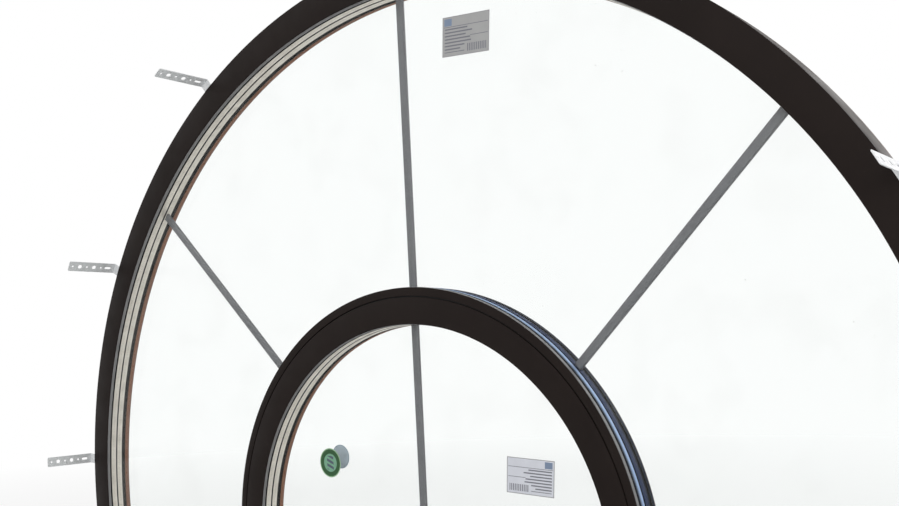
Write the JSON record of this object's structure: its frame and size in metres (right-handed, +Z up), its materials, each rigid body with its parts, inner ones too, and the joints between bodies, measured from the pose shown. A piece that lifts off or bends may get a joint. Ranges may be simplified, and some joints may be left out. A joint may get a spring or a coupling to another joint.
{
  "type": "arched window",
  "caption": "Half-round fixed window with a fan light around a smaller half-round light, grille bars between the panes and anchor straps into the room.",
  "frame": {"origin": "middle of the sill rail's underside, half way through the frame's depth", "axes": "+X across the window to the right as seen from the room, +Y from the room to the outside, +Z up"},
  "size_m": [2.3282, 0.197, 1.2326],
  "materials": {
    "frame_plastic": "dark brown film over hard plastic, fine grain, low sheen",
    "bead_plastic": "dark brown hard plastic, low sheen",
    "channel_steel": "galvanised",
    "grey_gasket": "soft light grey",
    "black_gasket": "soft black",
    "edge_sealant": "soft black sealant",
    "spacer_metal": "satin with fine perforations",
    "pane_glass": "clear float glass, faint green at the edge",
    "clip_plastic": "dark grey",
    "bar_metal": "satin mid grey paint",
    "packer_plastic": "moulded, blue",
    "strap_steel": "galvanised, light spangle",
    "screw_steel": "yellow-white zinc plating",
    "label_paper": "white with plain printed fields",
    "sticker_paper": "dark green ring, pale rim and centre",
    "sticker_back": "plain blue-grey"
  },
  "bodies": {
    "root": {"anchor_strap_1": "strap_steel", "anchor_strap_2": "strap_steel", "anchor_strap_3": "strap_steel", "anchor_strap_4": "strap_steel", "anchor_strap_5": "strap_steel", "anchor_strap_6": "strap_steel", "anchor_strap_7": "strap_steel", "bar_centre": "bar_metal", "bar_end_clips": "clip_plastic", "bar_inner": "bar_metal", "bar_left": "bar_metal", "bar_right": "bar_metal", "bottom_rail": "frame_plastic", "bottom_rail_steel": "channel_steel", "connector_left": "frame_plastic", "connector_right": "frame_plastic", "connector_screws": "screw_steel", "coupling_bead": "bead_plastic", "coupling_profile": "frame_plastic", "coupling_screws": "screw_steel", "coupling_seal": "black_gasket", "drain_caps": "bead_plastic", "fan_bottom_bead_left": "bead_plastic", "fan_bottom_bead_right": "bead_plastic", "fan_edge_seal_outside": "edge_sealant", "fan_edge_seal_room": "edge_sealant", "fan_label": "label_paper", "fan_outer_gasket": "black_gasket", "fan_pane_middle": "pane_glass", "fan_pane_outside": "pane_glass", "fan_pane_room": "pane_glass", "fan_room_gasket": "grey_gasket", "fan_spacer_outside": "spacer_metal", "fan_spacer_room": "spacer_metal", "glazing_packers": "packer_plastic", "inner_arch_bead": "bead_plastic", "inner_arch_frame": "frame_plastic", "inner_arch_steel": "channel_steel", "inner_bottom_bead": "bead_plastic", "inner_edge_seal_outside": "edge_sealant", "inner_edge_seal_room": "edge_sealant", "inner_label": "label_paper", "inner_outer_gasket": "black_gasket", "inner_pane_middle": "pane_glass", "inner_pane_outside": "pane_glass", "inner_pane_room": "pane_glass", "inner_room_gasket": "grey_gasket", "inner_spacer_outside": "spacer_metal", "inner_spacer_room": "spacer_metal", "outer_arch_bead": "bead_plastic", "outer_arch_frame": "frame_plastic", "outer_arch_steel": "channel_steel", "outside_sticker": "sticker_back", "round_sticker": "sticker_paper", "strap_screws": "screw_steel"}
  },
  "joints": []
}
